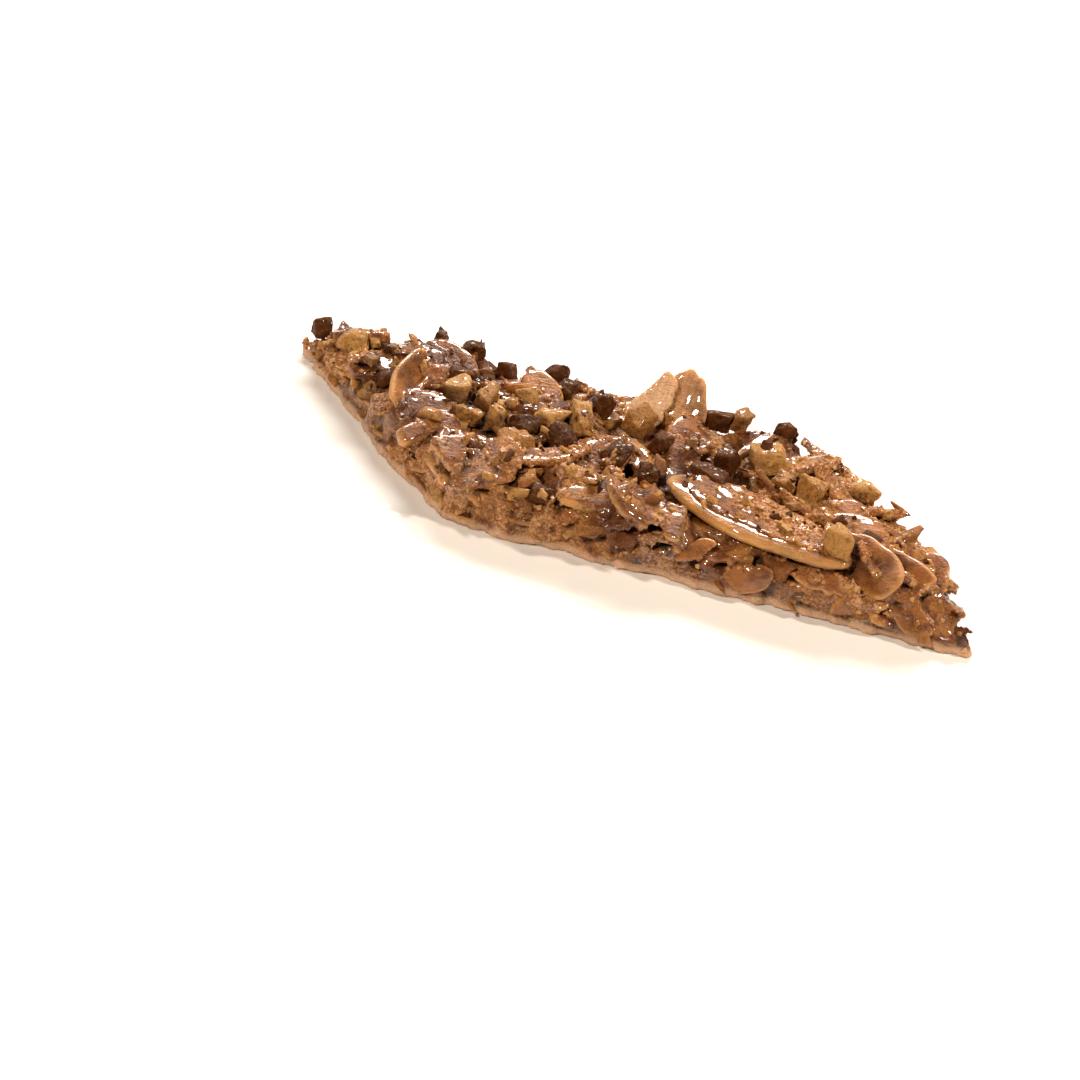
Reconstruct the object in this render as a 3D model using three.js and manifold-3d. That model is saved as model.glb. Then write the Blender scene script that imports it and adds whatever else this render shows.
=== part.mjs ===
// Nut brittle piece: one broken lozenge of almond brittle, lying on its flat underside.
// Sliced almonds are set in caramel, with chopped pistachios and cocoa nibs pressed into the top.
// Millimetres, +Z up. X runs along the long front edge, and the origin is under the middle.

import * as THREE from 'three';
import { mergeVertices } from 'three/addons/utils/BufferGeometryUtils.js';
import Module from 'manifold-3d';

const wasm = await Module();
wasm.setup();

// ---- Driving dimensions ----------------------------------------------------------------

const FRONT_EDGE_LENGTH = 58.5;   // the straight cut edge nearest the viewer
const SLAB_DEPTH = 28.2;          // front edge to back edge
const FRONT_Y = -15.0;            // the front edge, seen from the middle of the toppings
const SLAB_SHEAR = 20.6;          // how far the back edge is shifted to the left
const FRONT_THICKNESS = 5.6;      // underside to the caramel between the nuts, at the front
const BACK_THICKNESS = 4.5;       // the same at the back edge
const RIGHT_EDGE_BULGE = 1.4;     // the broken right end bows outwards
const CORNER_ROUNDING = 0.8;      // the worn front left corner
const THIN_CORNERS = [            // u and v of a corner, how much thinner, how far it reaches
  { u: 0, v: 1, thinner: 1.0, reach: 8 },
  { u: 1, v: 0, thinner: 2.6, reach: 7 },
];
const WALL_ROUGHNESS = 0.55;      // how far the broken walls wander
const TOP_ROUGHNESS = 0.45;       // how far the top wanders between the nuts
const SEAT_CLEARANCE = 0.34;      // air between a nut and its seat in the slab
const SLIVER_SIZE = 0.06;         // facets thinner than this are merged into their neighbours

const SLAB_SEGMENTS = { along: 26, across: 11, up: 2 };
const SLICE_SEGMENTS = { round: 12, rim: 4 };
const RELIEF_SLICES = 16;         // flaked almonds that are one with the slab
const GOLDEN_STEP = 0.618034;     // spreads the fused slices evenly along the slab
const SEED = 4127;

// ---- Finishes --------------------------------------------------------------------------

const COLOURS = { caramel: 0x9a5f2c, almond: 0xc08a4c, pistachio: 0xa5823e, nib: 0x3d2418 };

function finish(colour, roughness) {
  return new THREE.MeshStandardMaterial({ color: colour, roughness, metalness: 0 });
}

// ---- Small tools -----------------------------------------------------------------------

function seededRandom(seed) {
  let state = seed;
  return () => {
    state = (state * 1664525 + 1013904223) % 4294967296;
    return state / 4294967296;
  };
}

// Smooth wandering between -1 and 1, the same for the same place.
function wander(x, y, z) {
  const slow = Math.sin(0.53 * x + 1.3) * Math.cos(0.61 * y - 0.7 + 0.4 * z);
  const quick = Math.sin(1.37 * x - 0.9 * y + 2.1 * z) * Math.cos(1.11 * y + 0.5 * x);
  return 0.6 * slow + 0.4 * quick;
}

function solidOf(geometry) {
  const bare = geometry.clone();
  bare.deleteAttribute('normal');
  bare.deleteAttribute('uv');
  const merged = mergeVertices(bare, 1e-4);
  const mesh = new wasm.Mesh({
    numProp: 3,
    vertProperties: new Float32Array(merged.attributes.position.array),
    triVerts: new Uint32Array(merged.index.array),
  });
  return new wasm.Manifold(mesh);
}

function geometryOf(solid) {
  const mesh = solid.getMesh();
  const geometry = new THREE.BufferGeometry();
  geometry.setAttribute('position', new THREE.BufferAttribute(new Float32Array(mesh.vertProperties), 3));
  geometry.setIndex(new THREE.BufferAttribute(new Uint32Array(mesh.triVerts), 1));
  geometry.computeVertexNormals();
  return geometry;
}

// A cut can leave slivers and loose crumbs; only the largest body is the piece.
function largestBody(solid) {
  const bodies = solid.simplify(SLIVER_SIZE).decompose();
  return bodies.reduce((largest, body) => (body.volume() > largest.volume() ? body : largest));
}

// ---- Slab ------------------------------------------------------------------------------

// Plan position for u along the front edge and v from front to back, both from 0 to 1.
function planPoint(u, v) {
  const bulge = RIGHT_EDGE_BULGE * Math.sin(Math.PI * v) * Math.max(0, 2 * u - 1);
  const leftEnd = -SLAB_SHEAR * (v - 0.5) - FRONT_EDGE_LENGTH / 2;
  const corner = CORNER_ROUNDING * Math.exp(-((u / 0.07) ** 2)) * Math.exp(-((v / 0.12) ** 2));
  return {
    x: leftEnd + u * FRONT_EDGE_LENGTH + bulge + corner,
    y: FRONT_Y + v * SLAB_DEPTH + corner * 0.7,
  };
}

// Height of the caramel between the nuts.
function topHeight(x, y) {
  let thinning = 0;
  for (const { u, v, thinner, reach } of THIN_CORNERS) {
    const corner = planPoint(u, v);
    const gap = Math.hypot(x - corner.x, y - corner.y);
    thinning += thinner * Math.exp(-((gap / reach) ** 2));
  }
  const depth = (y - FRONT_Y) / SLAB_DEPTH;
  const thickness = FRONT_THICKNESS + (BACK_THICKNESS - FRONT_THICKNESS) * depth;
  return thickness - thinning + TOP_ROUGHNESS * wander(x, y, 0);
}

function slabBlank() {
  const { along, across, up } = SLAB_SEGMENTS;
  const geometry = new THREE.BoxGeometry(1, 1, 1, along, across, up);
  const place = geometry.attributes.position;
  for (let i = 0; i < place.count; i += 1) {
    const u = place.getX(i) + 0.5;
    const v = place.getY(i) + 0.5;
    const rise = place.getZ(i) + 0.5;
    const plan = planPoint(u, v);
    const onWall = u < 0.001 || u > 0.999 || v < 0.001 || v > 0.999;
    const drift = onWall ? WALL_ROUGHNESS * wander(plan.x, plan.y, 3 * rise) : 0;
    const x = plan.x + (u < 0.5 ? drift : -drift);
    const y = plan.y + (v < 0.5 ? drift : -drift);
    place.setXYZ(i, x, y, rise * topHeight(x, y));
  }
  return solidOf(geometry);
}

// ---- Almond slice ----------------------------------------------------------------------

// A flaked almond: pointed at one end, a flat plate with a rounded rim, curled along its length.
function sliceGeometry(length, width, thickness, curl, grow = 0) {
  const { round, rim } = SLICE_SEGMENTS;
  const geometry = new THREE.SphereGeometry(1, round, rim);
  geometry.rotateX(Math.PI / 2);
  const place = geometry.attributes.position;
  const point = new THREE.Vector3();
  for (let i = 0; i < place.count; i += 1) {
    point.fromBufferAttribute(place, i);
    const reach = Math.hypot(point.x, point.y);
    const spread = reach > 0 ? Math.pow(reach, 0.45) / reach : 0;
    const along = point.x * spread;
    const taper = 1 - 0.26 * along - 0.16 * Math.max(0, along) ** 3;
    const side = point.y * spread * taper;
    const half = thickness / 2 + grow;
    const x = along * (length / 2 + grow);
    const y = side * (width / 2 + grow);
    const sag = curl * (along * along - 0.35) + 0.35 * curl * side * side;
    place.setXYZ(i, x, y, point.z * half + sag);
  }
  return geometry;
}

// ---- Chopped pistachio and cocoa nib ---------------------------------------------------

const ROUND_CHUNK = new THREE.DodecahedronGeometry(1);
const SHARP_CHUNK = new THREE.IcosahedronGeometry(1);

function chunkGeometry(blank, size, roughness, seed, grow = 0) {
  const bare = blank.clone();
  bare.deleteAttribute('normal');
  bare.deleteAttribute('uv');
  const geometry = mergeVertices(bare, 1e-4);
  const random = seededRandom(seed);
  const place = geometry.attributes.position;
  for (let i = 0; i < place.count; i += 1) {
    const chip = 1 - roughness * random();
    place.setXYZ(
      i,
      place.getX(i) * (size[0] / 2 * chip + grow),
      place.getY(i) * (size[1] / 2 * chip + grow),
      place.getZ(i) * (size[2] / 2 * chip + grow),
    );
  }
  return geometry;
}

// ---- Placing ---------------------------------------------------------------------------

// Turns: heading about Z, pitch lifts the far end of the length, roll lifts one side.
function placement(x, y, lift, heading, pitch, roll) {
  const turn = new THREE.Euler(
    THREE.MathUtils.degToRad(roll),
    THREE.MathUtils.degToRad(-pitch),
    THREE.MathUtils.degToRad(heading),
    'ZYX',
  );
  return new THREE.Matrix4().compose(
    new THREE.Vector3(x, y, topHeight(x, y) + lift),
    new THREE.Quaternion().setFromEuler(turn),
    new THREE.Vector3(1, 1, 1),
  );
}

// Flaked almonds that lie clear on the top, stand up in it, or stick out of the front.
// x, y, lift above the caramel, length, width, thickness, curl, heading, pitch, roll
const ALMOND_SLICES = [
  [14.3, -9.2, 1.0, 21.5, 10.0, 1.7, 0.35, 162, 2, 4],
  [-0.4, 9.6, 1.4, 9.6, 5.2, 1.0, 0.3, 78, 54, 10],
  [3.2, 11.4, 1.9, 8.2, 5.8, 1.0, 0.4, 262, -54, 0],
  [-25.4, 2.0, 1.2, 10.6, 5.6, 1.0, 0.9, 70, 8, 48],
  [-22.8, 9.2, 1.2, 7.8, 4.6, 1.1, -0.5, -42, -4, 32],
  [-12.9, 8.2, 1.2, 7.6, 4.6, 1.2, -0.6, -42, -6, 26],
  [-18.8, -11.4, 0.4, 9.0, 5.8, 1.1, -0.5, 22, 2, 26],
  [-3.4, -12.4, 0.7, 8.4, 4.0, 1.4, 0.2, 22, 0, 14],
  [5.0, -13.0, 0.5, 7.4, 4.4, 1.0, 0.3, -25, 0, 18],
  [13.2, -14.7, -2.5, 7.4, 4.0, 1.1, 0.2, 0, 22, 66],
  [24.4, -4.4, 1.2, 6.8, 3.6, 1.2, -0.3, -16, 0, 12],
  [26.2, -11.4, 0.5, 9.2, 5.4, 1.0, 0.7, -45, -6, 50],
  [30.4, -10.8, 0.1, 9.4, 5.2, 1.0, 0.5, -42, -10, 50],
  [33.9, -8.8, 0.0, 8.2, 4.6, 1.2, 0.4, -60, -10, 42],
  [11.9, 7.2, 1.6, 8.4, 1.3, 1.0, 0.0, 60, 10, 0],
  [4.4, 7.0, 0.9, 6.4, 4.0, 1.0, -0.4, 58, 6, 24],
  [22.9, -0.9, 0.8, 5.2, 2.8, 1.0, 0.2, -14, 0, 12],
  [-23.3, -7.6, 0.1, 5.4, 4.4, 1.5, -0.3, 60, 0, 26],
  [24.8, -14.8, -2.5, 6.2, 4.0, 1.1, 0.2, 0, -62, 68],
  [-2.6, -14.5, -1.2, 8.6, 3.4, 1.0, 0.2, 0, -20, 56],
  [8.2, -14.7, -1.4, 5.4, 2.8, 1.0, 0.2, 0, 24, 60],
  [31.6, -13.6, -1.6, 6.4, 4.6, 1.1, 0.3, -8, -24, 58],
];

// Chopped pistachios: x, y, lift, then length, width and height, heading
const PISTACHIOS = [
  [-33.2, 9.0, 0.9, 4.2, 3.4, 3.0, 20],
  [-20.4, 3.2, 1.0, 3.8, 3.2, 2.8, 60],
  [-17.4, 2.4, 1.5, 4.2, 2.4, 3.4, 75],
  [-16.0, -1.3, 1.3, 3.4, 2.4, 3.0, 95],
  [-18.5, -2.3, 1.1, 3.0, 2.6, 2.4, 10],
  [-10.2, 2.0, 1.0, 3.4, 2.8, 2.4, 40],
  [-7.0, 3.0, 1.4, 3.6, 2.8, 3.4, 110],
  [-12.8, -5.9, 1.2, 4.4, 3.0, 2.8, 15],
  [-2.1, -8.2, 1.2, 2.6, 2.4, 3.0, 0],
  [-1.0, 6.0, 1.4, 3.8, 3.4, 3.6, 30],
  [13.6, 5.0, 1.5, 5.0, 4.0, 3.6, 35],
  [15.9, 1.6, 1.0, 3.2, 2.2, 2.4, -30],
  [18.7, 0.6, 1.4, 3.8, 3.2, 3.8, 60],
  [22.3, -11.8, 2.0, 4.0, 3.4, 4.2, 80],
  [9.8, 12.6, 1.0, 2.6, 2.0, 2.8, 50],
  [24.6, 4.9, 0.8, 3.4, 2.8, 2.2, 0],
];

// Cocoa nibs: x, y, lift, then length, width and height, heading
const COCOA_NIBS = [
  [-37.4, 12.0, 0.6, 2.4, 2.0, 3.0, 30],
  [-29.0, 8.6, 0.9, 2.4, 1.8, 1.8, 10],
  [-28.4, 3.0, 0.7, 3.4, 2.2, 1.8, 50],
  [-24.4, 13.0, 0.7, 2.2, 1.8, 3.6, 80],
  [-20.4, 11.6, 1.2, 3.4, 2.4, 3.6, 20],
  [-16.5, 11.8, 0.7, 2.2, 2.0, 2.0, 0],
  [-10.9, 12.4, 1.0, 3.0, 2.2, 2.6, 30],
  [-9.4, 9.4, 1.0, 2.8, 2.4, 2.6, 70],
  [-5.6, 7.4, 1.3, 3.6, 3.0, 3.4, 100],
  [-12.6, -1.6, 1.1, 3.2, 2.8, 2.4, 20],
  [-8.3, -3.2, 1.5, 3.8, 3.2, 3.8, 110],
  [1.4, -6.2, 1.3, 3.6, 2.4, 3.2, 100],
  [-9.0, -13.4, 0.3, 2.8, 2.0, 1.6, 30],
  [2.0, 2.4, 1.3, 3.4, 2.6, 2.6, 60],
  [7.2, 12.0, 1.1, 4.0, 2.8, 3.0, 0],
  [9.2, 2.6, 1.4, 3.0, 2.6, 3.6, 70],
  [7.9, -3.2, 1.3, 4.6, 3.2, 2.8, -20],
  [15.2, 12.2, 1.1, 2.2, 2.0, 3.2, 80],
];

function almondSolid([x, y, lift, length, width, thickness, curl, heading, pitch, roll], grow = 0) {
  const geometry = sliceGeometry(length, width, thickness, curl, grow);
  return solidOf(geometry.applyMatrix4(placement(x, y, lift, heading, pitch, roll)));
}

function chunkSolid(blank, roughness, seed, [x, y, lift, length, width, height, heading], grow = 0) {
  const geometry = chunkGeometry(blank, [length, width, height], roughness, seed, grow);
  return solidOf(geometry.applyMatrix4(placement(x, y, lift, heading, 0, 0)));
}

// ---- Building --------------------------------------------------------------------------

// Flaked almonds fused into the slab make its shingled top and walls.
function slabWithRelief() {
  const random = seededRandom(SEED);
  let slab = slabBlank();
  for (let i = 0; i < RELIEF_SLICES; i += 1) {
    const u = 0.1 + 0.78 * ((i * GOLDEN_STEP) % 1);
    const v = 0.16 + 0.68 * random();
    const plan = planPoint(u, v);
    const length = 8 + 6 * random();
    const width = length * (0.42 + 0.12 * random());
    const curl = 0.5 * (random() - 0.5);
    const turns = [360 * random(), 14 * (random() - 0.5), 20 * (random() - 0.5)];
    const row = [plan.x, plan.y, 0.3 * random(), length, width, 1.1, curl, ...turns];
    slab = slab.add(almondSolid(row));
  }
  return slab;
}

// Every topping as a pair: the nut itself, and the larger seat that is cut for it.
function toppings() {
  const rows = [];
  const label = (name, index) => `${name}_${String(index + 1).padStart(2, '0')}`;
  ALMOND_SLICES.forEach((row, index) => {
    const solid = (grow) => almondSolid(row, grow);
    rows.push({ name: label('almond_slice', index), kind: 'almond', solid });
  });
  PISTACHIOS.forEach((row, index) => {
    const solid = (grow) => chunkSolid(ROUND_CHUNK, 0.16, SEED + 31 * index, row, grow);
    rows.push({ name: label('pistachio', index), kind: 'pistachio', solid });
  });
  COCOA_NIBS.forEach((row, index) => {
    const solid = (grow) => chunkSolid(SHARP_CHUNK, 0.22, SEED + 57 * index, row, grow);
    rows.push({ name: label('cocoa_nib', index), kind: 'nib', solid });
  });
  return rows;
}

const FINISHES = {
  almond: finish(COLOURS.almond, 0.35),
  pistachio: finish(COLOURS.pistachio, 0.55),
  nib: finish(COLOURS.nib, 0.5),
};

const pieces = [];
let slab = slabWithRelief();
let seats = null;
for (const { name, kind, solid } of toppings()) {
  const seat = solid(SEAT_CLEARANCE);
  const nut = seats ? largestBody(solid(0).subtract(seats)) : solid(0);
  pieces.push({ name, solid: nut, material: FINISHES[kind] });
  seats = seats ? seats.add(seat) : seat;
}
slab = largestBody(slab.subtract(seats));
pieces.unshift({ name: 'brittle_slab', solid: slab, material: finish(COLOURS.caramel, 0.3) });

// The origin goes under the middle of the whole piece.
const whole = new THREE.Box3();
const meshes = pieces.map(({ name, solid, material }) => {
  const mesh = new THREE.Mesh(geometryOf(solid), material);
  mesh.name = name;
  whole.union(new THREE.Box3().setFromObject(mesh));
  return mesh;
});
const middle = whole.getCenter(new THREE.Vector3());

const brittle = new THREE.Group();
for (const mesh of meshes) {
  mesh.position.set(-middle.x, -middle.y, -whole.min.z);
  brittle.add(mesh);
}

export default brittle;
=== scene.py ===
"""A broken lozenge of almond brittle: flaked almonds bound in cooked caramel, with chopped
pistachios and cocoa nibs pressed into the top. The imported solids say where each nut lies."""

import math

import bmesh
import bpy
import numpy as np
import openvdb
from mathutils import Matrix, Vector
from mathutils.bvhtree import BVHTree


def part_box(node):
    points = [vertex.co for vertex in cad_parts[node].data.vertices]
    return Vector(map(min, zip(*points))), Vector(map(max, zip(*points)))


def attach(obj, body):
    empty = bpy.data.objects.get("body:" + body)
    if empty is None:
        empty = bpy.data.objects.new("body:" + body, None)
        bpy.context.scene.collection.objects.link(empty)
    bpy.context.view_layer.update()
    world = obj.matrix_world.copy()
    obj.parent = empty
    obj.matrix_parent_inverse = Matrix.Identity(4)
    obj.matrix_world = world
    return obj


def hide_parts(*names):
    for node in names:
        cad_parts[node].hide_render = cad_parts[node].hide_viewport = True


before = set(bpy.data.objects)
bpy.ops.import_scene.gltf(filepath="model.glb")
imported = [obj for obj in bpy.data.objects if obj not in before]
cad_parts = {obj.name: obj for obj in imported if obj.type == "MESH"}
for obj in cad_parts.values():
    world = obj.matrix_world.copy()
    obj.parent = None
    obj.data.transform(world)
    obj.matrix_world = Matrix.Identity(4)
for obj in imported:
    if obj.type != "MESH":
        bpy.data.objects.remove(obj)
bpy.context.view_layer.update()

MM = 0.001
SLAB = "brittle_slab"
ALMONDS = sorted(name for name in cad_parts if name.startswith("almond_slice"))
PISTACHIOS = sorted(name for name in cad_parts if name.startswith("pistachio"))
NIBS = sorted(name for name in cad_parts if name.startswith("cocoa_nib"))

# ---- Sizes, all in millimetres --------------------------------------------------------------

VOXEL = 0.25                 # how finely the set caramel is modelled
FLAKE_THICKNESS = 0.85       # a flaked almond in the mass
FLAKE_LENGTHS = (5.5, 13.5)
FLAKE_TRIES = 1300           # flakes dropped on the tray until the slab is full
SPIKE = 0.03                 # a point on a snapped rim stands out by this share of its reach
FLAKE_PROUD = 0.03           # a flake stands this far out of the caramel that holds it
SEAT_PROUD = 0.12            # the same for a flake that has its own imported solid
WALL_PROUD = -0.02           # and for one that shows in a broken side
HERO_FILM = 0.14             # the one whole slice on top has caramel this thick on its face
HERO_RIM = 1.5               # and none this near its rim
HERO_CLEAR = 0.8             # the other flakes stop this far lower beside it
HEAP = 0.2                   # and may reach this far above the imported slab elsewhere
CHUNK_CLEAR = 0.4            # a flake that would cover a packed chopped nut stays this much lower
CRUSTS = ((20, 8, 6, 0.6), (-32, 11, 7, 1.2), (37, -13, 7, -1.0))   # heaped up or thin: x, y, reach, rise
TIP = 35.0                   # no flake's middle is nearer the sharp right end than this
CARAMEL_FILLET = 0.40        # how far caramel creeps up between two flakes
CHIP_FILLET = 0.30           # and round a chopped nut
POOL_DEPTH = 1.7             # caramel stands this far below the top of the nuts
TOP_CHIPS = 260              # chopped nuts pressed into the top
SIDE_CHIPS = 110             # and showing in the broken sides
CHIP_SIZES = (0.9, 3.0)
CHIP_SHAPES = 24             # differently snapped chips, each used many times
CHIP_PITS = 0.16             # relief of their cut faces, as a share of their size
CHIP_LEAN = 0.45             # slopes at which they lie
SLIVERS = 0.45               # the share of the almond ones that are thin slivers
WALL_RECESS = 0.30           # on a broken side caramel breaks back behind the nuts
SEAM_DEPTH = 0.06            # where two lengths of caramel overlap, one dips under the other
SEAM_OVERLAP = 1.6
STANDING = 0.78              # a slice whose face leans more than this stands clear of the film,
STANDING_HEIGHT = 3.8        # if its middle is higher than this,
STICK_WIDTH = 2.0            # and so does one that is narrower than this
WALL_BAND = 2.2              # a nut nearer the outline than this shows in a broken side
CRUMB_FEET = (0.6, 1.1)      # no crumb is strewn below the first height, few below the second
FLOOR = 0.05                 # no flake or chopped nut reaches lower than this
LAYER_DETAIL = (26, 4)       # spokes and rings that model each flake in the mass
SLICE_DETAIL = (72, 16)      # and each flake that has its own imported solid
FAR = 1e3                    # past either end of the slab
# The slices that show most: tint, then each snap as a bearing, a side and a share of its size
SHOWN_SLICES = {0: (0.55, ()), 1: (1.0, ((4.24, 0, 0.17), (1.5, 1, 0.40))), 2: (0.88, ())}
FROSTED = ((-20, -12, 6), (22, 9, 8), (5, -13, 4), (17, -8, 5), (-3, 9, 4), (-25, -9, 5), (-30, -1, 5),
           (-35, 7, 5), (-10, -15, 5), (26, -15, 4))   # pale dull patches: x, y, reach
SEED = 71

CAMERA_DISTANCE = 0.400
CAMERA_ELEVATION = math.radians(30.0)
CAMERA_ROLL = math.radians(14.5)
CAMERA_LENS = 123.6
CAMERA_FOCUS = Vector((0, 0.00072, 0))
CAMERA_AIM = (-0.0095, -0.0045)   # from the focus, along the picture's axes, metres


# ---- Small tools ----------------------------------------------------------------------------

def colour(hex_value):
    """An sRGB hex value as a linear RGBA colour."""
    channels = [int(hex_value[i:i + 2], 16) / 255 for i in (1, 3, 5)]
    linear = [c / 12.92 if c <= 0.04045 else ((c + 0.055) / 1.055) ** 2.4 for c in channels]
    return (*linear, 1.0)


def value_noise(x, y, z, size, seed):
    """Smooth noise from 0 to 1 whose blobs are size millimetres across."""
    def lattice(i, j, k):
        h = (i * 374761393 + j * 668265263 + k * 2147483647 + seed * 1442695041).astype(np.uint64)
        h = (h ^ (h >> np.uint64(13))) * np.uint64(1274126177)
        return ((h ^ (h >> np.uint64(16))) & np.uint64(0xFFFFF)).astype(np.float32) / 0xFFFFF

    x, y, z = np.broadcast_arrays(x / size, y / size, z / size)
    i, j, k = (np.floor(v).astype(np.int64) for v in (x, y, z))
    fx, fy, fz = ((v - n).astype(np.float32) for v, n in ((x, i), (y, j), (z, k)))
    fx, fy, fz = (f * f * (3 - 2 * f) for f in (fx, fy, fz))
    total = 0
    for di in (0, 1):
        for dj in (0, 1):
            for dk in (0, 1):
                weight = (fx if di else 1 - fx) * (fy if dj else 1 - fy) * (fz if dk else 1 - fz)
                total = total + weight * lattice(i + di, j + dj, k + dk)
    return total


def smooth_min(a, b, fillet):
    """The smaller of two distances, with a fillet where they meet."""
    h = np.clip(0.5 + 0.5 * (b - a) / fillet, 0, 1)
    return b * (1 - h) + a * h - fillet * h * (1 - h)


def smooth_step(low, high, value):
    """0 below low, 1 above high, and a soft rise between."""
    t = np.clip((value - low) / (high - low), 0, 1)
    return t * t * (3 - 2 * t)


def mesh_object(name, points, faces, material, smooth=True):
    """A mesh object at the origin from points in millimetres."""
    mesh = bpy.data.meshes.new(name)
    mesh.from_pydata((np.asarray(points) * MM).tolist(), [], [list(map(int, f)) for f in faces])
    mesh.update()
    if smooth:
        mesh.polygons.foreach_set("use_smooth", [True] * len(mesh.polygons))
    mesh.materials.append(material)
    piece = bpy.data.objects.new(name, mesh)
    bpy.context.scene.collection.objects.link(piece)
    return piece


def point_attribute(piece, name, values):
    layer = piece.data.attributes.new(name, "FLOAT", "POINT")
    layer.data.foreach_set("value", np.asarray(values, np.float32))


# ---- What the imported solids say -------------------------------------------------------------

def node_triangles(name):
    """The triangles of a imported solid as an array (n, 3 corners, 3), in millimetres."""
    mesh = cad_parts[name].data
    co = np.empty(len(mesh.vertices) * 3, np.float32)
    mesh.vertices.foreach_get("co", co)
    mesh.calc_loop_triangles()
    corners = np.empty(len(mesh.loop_triangles) * 3, np.int32)
    mesh.loop_triangles.foreach_get("vertices", corners)
    return co.reshape(-1, 3)[corners].reshape(-1, 3, 3) / MM


class Nut:
    """Where a packed nut lies: its middle, its own axes (length, width, thickness), its size."""

    def __init__(self, name):
        triangles = node_triangles(name)
        area = np.linalg.norm(np.cross(triangles[:, 1] - triangles[:, 0],
                                       triangles[:, 2] - triangles[:, 0]), axis=1) / 2
        centres = triangles.mean(1)
        middle = np.average(centres, axis=0, weights=area)
        spread = (centres - middle) * np.sqrt(area)[:, None]
        _, vectors = np.linalg.eigh(spread.T @ spread)
        thick, length = vectors[:, 0], vectors[:, 2]
        if thick[2] < 0:
            thick = -thick
        corners = triangles.reshape(-1, 3) - middle
        width = np.cross(thick, length)
        if self.blunt_end(corners @ length, corners @ width) > 0:
            length, width = -length, -width
        self.name = name
        self.axes = np.stack([length, width, thick], 1)
        local = corners @ self.axes
        low, high = local.min(0), local.max(0)
        self.middle = middle + self.axes @ ((low + high) / 2)
        self.size = high - low
        local = local - (low + high) / 2
        along, side = local[:, 0] / self.size[0] * 2, local[:, 1] / self.size[1] * 2
        table = np.stack([np.ones_like(along), along ** 2, side ** 2], 1)
        self.curl = np.linalg.lstsq(table, local[:, 2], rcond=None)[0]
        self.thickness = 2 * np.abs(local[:, 2] - table @ self.curl).max()

    @staticmethod
    def blunt_end(along, side):
        """Positive when the wide end points forward."""
        reach = np.abs(along).max() * 0.5
        return np.abs(side[along > reach]).max(initial=0) - np.abs(side[along < -reach]).max(initial=0)

    def place(self, local):
        return self.middle + local @ self.axes.T


# ---- The tray: plan outline and height of the slab ------------------------------------------

class Tray:
    """The slab's plan outline and top height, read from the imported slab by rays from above."""

    CELL = 0.4

    def __init__(self):
        triangles = node_triangles(SLAB)
        tree = BVHTree.FromPolygons(triangles.reshape(-1, 3).tolist(),
                                    np.arange(len(triangles) * 3).reshape(-1, 3).tolist())
        low = triangles.reshape(-1, 3).min(0) - 2
        high = triangles.reshape(-1, 3).max(0) + 2
        self.origin = low[:2]
        self.count = np.ceil((high[:2] - low[:2]) / self.CELL).astype(int)
        height = np.full(self.count, np.nan)
        for i in range(self.count[0]):
            for j in range(self.count[1]):
                x, y = self.origin + self.CELL * np.array((i, j))
                hit = tree.ray_cast(Vector((x, y, 30)), Vector((0, 0, -1)))[0]
                if hit is not None:
                    height[i, j] = hit.z
        inside = ~np.isnan(height)
        self.outline = self.signed_distance(inside)
        height[~inside] = np.nanmean(height)
        self.top = self.blur(height, 3)

    def signed_distance(self, inside):
        """Millimetres to the outline, negative inside."""
        edge = np.zeros_like(inside)
        edge[1:] |= inside[1:] != inside[:-1]
        edge[:, 1:] |= inside[:, 1:] != inside[:, :-1]
        rim = np.argwhere(edge).astype(np.float32)
        cells = np.argwhere(np.ones_like(inside)).astype(np.float32)
        nearest = np.empty(len(cells), np.float32)
        for start in range(0, len(cells), 4000):
            block = cells[start:start + 4000]
            gap = ((block[:, None] - rim[None]) ** 2).sum(2)
            nearest[start:start + 4000] = np.sqrt(gap.min(1))
        distance = nearest.reshape(inside.shape) * self.CELL
        return self.blur(np.where(inside, -distance, distance), 1)

    @staticmethod
    def blur(grid, passes):
        for _ in range(passes):
            for axis in (0, 1):
                grid = (np.roll(grid, 1, axis) + 2 * grid + np.roll(grid, -1, axis)) / 4
        return grid

    def sample(self, grid, x, y):
        u = np.clip((x - self.origin[0]) / self.CELL, 0, self.count[0] - 1.001)
        v = np.clip((y - self.origin[1]) / self.CELL, 0, self.count[1] - 1.001)
        i, j = u.astype(int), v.astype(int)
        a, b = u - i, v - j
        return (grid[i, j] * (1 - a) * (1 - b) + grid[i + 1, j] * a * (1 - b)
                + grid[i, j + 1] * (1 - a) * b + grid[i + 1, j + 1] * a * b)


# ---- Flaked almonds -------------------------------------------------------------------------

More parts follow.
